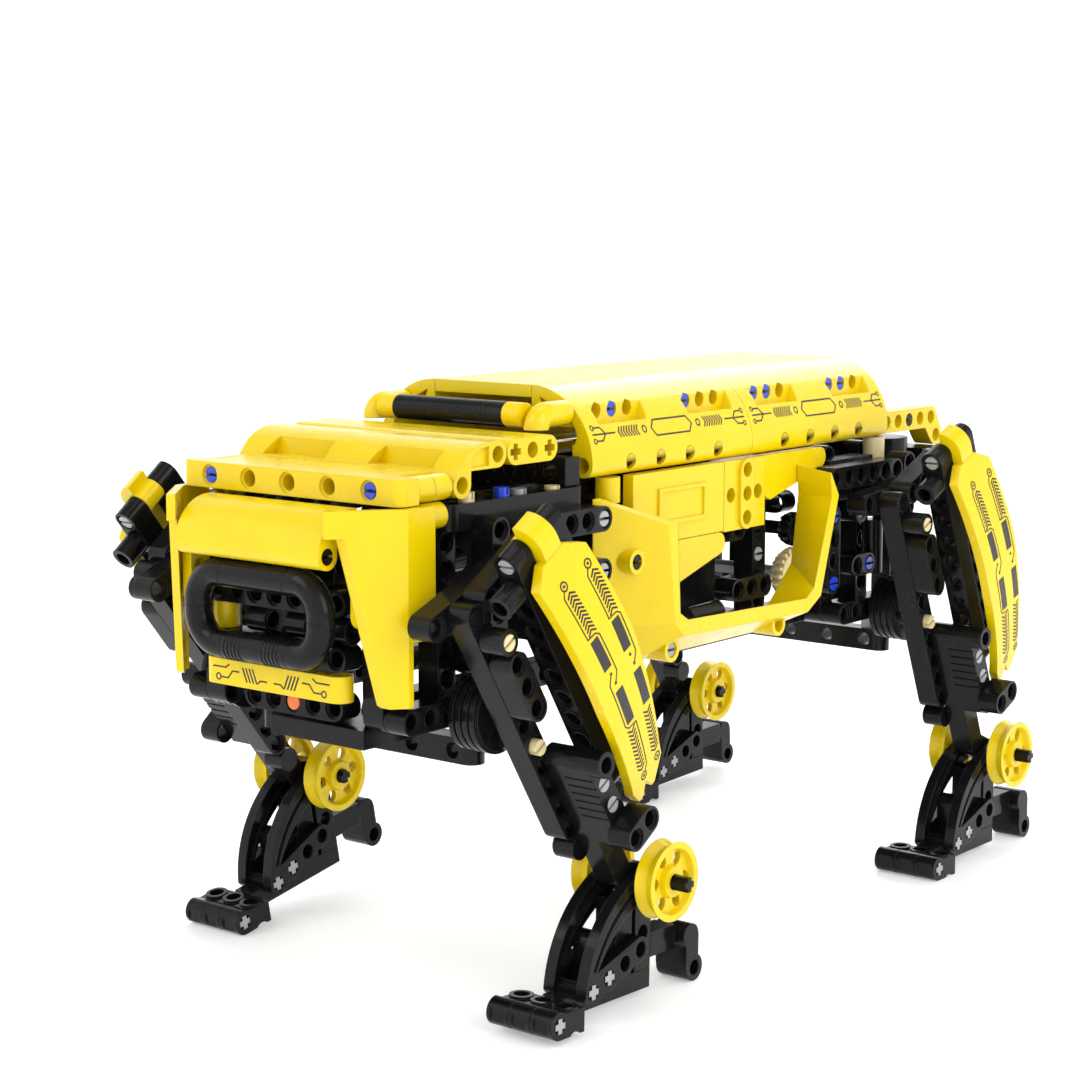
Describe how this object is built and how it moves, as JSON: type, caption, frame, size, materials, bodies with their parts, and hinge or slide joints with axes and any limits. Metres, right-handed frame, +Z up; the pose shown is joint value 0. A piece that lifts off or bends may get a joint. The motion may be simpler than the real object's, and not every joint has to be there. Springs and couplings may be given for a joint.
{
  "type": "quadruped robot dog",
  "caption": "Toy four-legged walking robot built from pinned beams, curved cover panels, rocker legs, hinged feet and ankle pulleys.",
  "frame": {"origin": "middle of the floor rectangle under the standing robot, level with the soles", "axes": "+Z up, -Y towards the head, +X towards the robot's left side"},
  "size_m": [0.1848, 0.3515, 0.1804],
  "materials": {
    "yellow": "glossy",
    "gloss_black": "glossy",
    "motor": "satin",
    "blue": "glossy",
    "grey": "glossy",
    "tan": "glossy",
    "orange": "glossy"
  },
  "bodies": {
    "chassis": {"back_panels": "yellow", "back_top_panels": "yellow", "battery_box": "gloss_black", "black_pins": "gloss_black", "blue_pins": "blue", "bottom_rails": "gloss_black", "cheek_panels": "yellow", "cross_blocks": "yellow", "drive_motors": "motor", "elbow_tubes": "yellow", "front_plate": "yellow", "gearbox_frames": "gloss_black", "grey_pins": "grey", "handle_bar": "gloss_black", "head_core": "gloss_black", "head_ring": "gloss_black", "head_strips": "yellow", "hood_panel": "yellow", "neck_frame": "gloss_black", "orange_pin": "orange", "rocker_supports": "gloss_black", "roof_panel": "yellow", "side_plates": "yellow", "spine_beams": "gloss_black", "tail_beams": "yellow", "tan_tubes": "tan", "visor_panel": "yellow", "window_beams": "gloss_black", "window_frames": "yellow"},
    "gear_shaft": {"drive_gears": "tan", "drive_axle": "grey"},
    "pinion_shaft": {"pinions": "gloss_black"},
    "rocker_fl": {"rocker_fl": "gloss_black"},
    "leg_fl": {"thigh_fl": "gloss_black", "thigh_panel_fl": "yellow", "leg_pins_fl": "tan"},
    "foot_fl": {"foot_fl": "gloss_black"},
    "wheels_fl": {"wheels_fl": "yellow"},
    "crank_fl": {"crank_fl": "gloss_black"},
    "rocker_fr": {"rocker_fr": "gloss_black"},
    "leg_fr": {"thigh_fr": "gloss_black", "thigh_panel_fr": "yellow", "leg_pins_fr": "tan"},
    "foot_fr": {"foot_fr": "gloss_black"},
    "wheels_fr": {"wheels_fr": "yellow"},
    "crank_fr": {"crank_fr": "gloss_black"},
    "rocker_rl": {"rocker_rl": "gloss_black"},
    "leg_rl": {"thigh_rl": "gloss_black", "thigh_panel_rl": "yellow", "leg_pins_rl": "tan"},
    "foot_rl": {"foot_rl": "gloss_black"},
    "wheels_rl": {"wheels_rl": "yellow"},
    "crank_rl": {"crank_rl": "gloss_black"},
    "rocker_rr": {"rocker_rr": "gloss_black"},
    "leg_rr": {"thigh_rr": "gloss_black", "thigh_panel_rr": "yellow", "leg_pins_rr": "tan"},
    "foot_rr": {"foot_rr": "gloss_black"},
    "wheels_rr": {"wheels_rr": "yellow"},
    "crank_rr": {"crank_rr": "gloss_black"}
  },
  "joints": [
    {"name": "gear_spin", "type": "hinge", "parent": "chassis", "child": "gear_shaft", "pos_m": [0, 0.05919, 0.1067], "axis": [1, 0, 0], "continuous": true},
    {"name": "pinion_spin", "type": "hinge", "parent": "chassis", "child": "pinion_shaft", "pos_m": [0, 0.05919, 0.1227], "axis": [1, 0, 0], "continuous": true},
    {"name": "rocker_fl", "type": "hinge", "parent": "chassis", "child": "rocker_fl", "pos_m": [0.056, -0.12322, 0.1352], "axis": [1, 0, 0], "range_deg": [-13, 13]},
    {"name": "hip_fl", "type": "hinge", "parent": "rocker_fl", "child": "leg_fl", "pos_m": [0.064, -0.15298, 0.12345], "axis": [1, 0, 0], "range_deg": [-9, 9]},
    {"name": "ankle_fl", "type": "hinge", "parent": "leg_fl", "child": "foot_fl", "pos_m": [0.072, -0.08538, 0.0372], "axis": [1, 0, 0], "range_deg": [-12, 12]},
    {"name": "wheel_spin_fl", "type": "hinge", "parent": "leg_fl", "child": "wheels_fl", "pos_m": [0.072, -0.08538, 0.0372], "axis": [1, 0, 0], "continuous": true},
    {"name": "crank_spin_fl", "type": "hinge", "parent": "chassis", "child": "crank_fl", "pos_m": [0.05, -0.12882, 0.0907], "axis": [1, 0, 0], "continuous": true},
    {"name": "rocker_fr", "type": "hinge", "parent": "chassis", "child": "rocker_fr", "pos_m": [-0.056, -0.12322, 0.1352], "axis": [1, 0, 0], "range_deg": [-13, 13]},
    {"name": "hip_fr", "type": "hinge", "parent": "rocker_fr", "child": "leg_fr", "pos_m": [-0.064, -0.15279, 0.12298], "axis": [1, 0, 0], "range_deg": [-9, 9]},
    {"name": "ankle_fr", "type": "hinge", "parent": "leg_fr", "child": "foot_fr", "pos_m": [-0.072, -0.07544, 0.04535], "axis": [1, 0, 0], "range_deg": [-12, 12]},
    {"name": "wheel_spin_fr", "type": "hinge", "parent": "leg_fr", "child": "wheels_fr", "pos_m": [-0.072, -0.07544, 0.04535], "axis": [1, 0, 0], "continuous": true},
    {"name": "crank_spin_fr", "type": "hinge", "parent": "chassis", "child": "crank_fr", "pos_m": [-0.05, -0.12882, 0.0907], "axis": [1, 0, 0], "continuous": true},
    {"name": "rocker_rl", "type": "hinge", "parent": "chassis", "child": "rocker_rl", "pos_m": [0.056, 0.10879, 0.1352], "axis": [1, 0, 0], "range_deg": [-13, 13]},
    {"name": "hip_rl", "type": "hinge", "parent": "rocker_rl", "child": "leg_rl", "pos_m": [0.064, 0.07688, 0.13274], "axis": [1, 0, 0], "range_deg": [-9, 9]},
    {"name": "ankle_rl", "type": "hinge", "parent": "leg_rl", "child": "foot_rl", "pos_m": [0.072, 0.12957, 0.03665], "axis": [1, 0, 0], "range_deg": [-12, 12]},
    {"name": "wheel_spin_rl", "type": "hinge", "parent": "leg_rl", "child": "wheels_rl", "pos_m": [0.072, 0.12957, 0.03665], "axis": [1, 0, 0], "continuous": true},
    {"name": "crank_spin_rl", "type": "hinge", "parent": "chassis", "child": "crank_rl", "pos_m": [0.05, 0.10318, 0.0907], "axis": [1, 0, 0], "continuous": true},
    {"name": "rocker_rr", "type": "hinge", "parent": "chassis", "child": "rocker_rr", "pos_m": [-0.056, 0.10879, 0.1352], "axis": [1, 0, 0], "range_deg": [-13, 13]},
    {"name": "hip_rr", "type": "hinge", "parent": "rocker_rr", "child": "leg_rr", "pos_m": [-0.064, 0.07914, 0.12315], "axis": [1, 0, 0], "range_deg": [-9, 9]},
    {"name": "ankle_rr", "type": "hinge", "parent": "leg_rr", "child": "foot_rr", "pos_m": [-0.072, 0.14849, 0.0383], "axis": [1, 0, 0], "range_deg": [-12, 12]},
    {"name": "wheel_spin_rr", "type": "hinge", "parent": "leg_rr", "child": "wheels_rr", "pos_m": [-0.072, 0.14849, 0.0383], "axis": [1, 0, 0], "continuous": true},
    {"name": "crank_spin_rr", "type": "hinge", "parent": "chassis", "child": "crank_rr", "pos_m": [-0.05, 0.10318, 0.0907], "axis": [1, 0, 0], "continuous": true}
  ],
  "couplings": [
    {"joint": "pinion_spin", "follows": "gear_spin", "ratio": -1.6667},
    {"joint": "crank_spin_fl", "follows": "gear_spin", "ratio": 1},
    {"joint": "crank_spin_fr", "follows": "gear_spin", "ratio": 1},
    {"joint": "crank_spin_rl", "follows": "gear_spin", "ratio": 1},
    {"joint": "crank_spin_rr", "follows": "gear_spin", "ratio": 1}
  ]
}
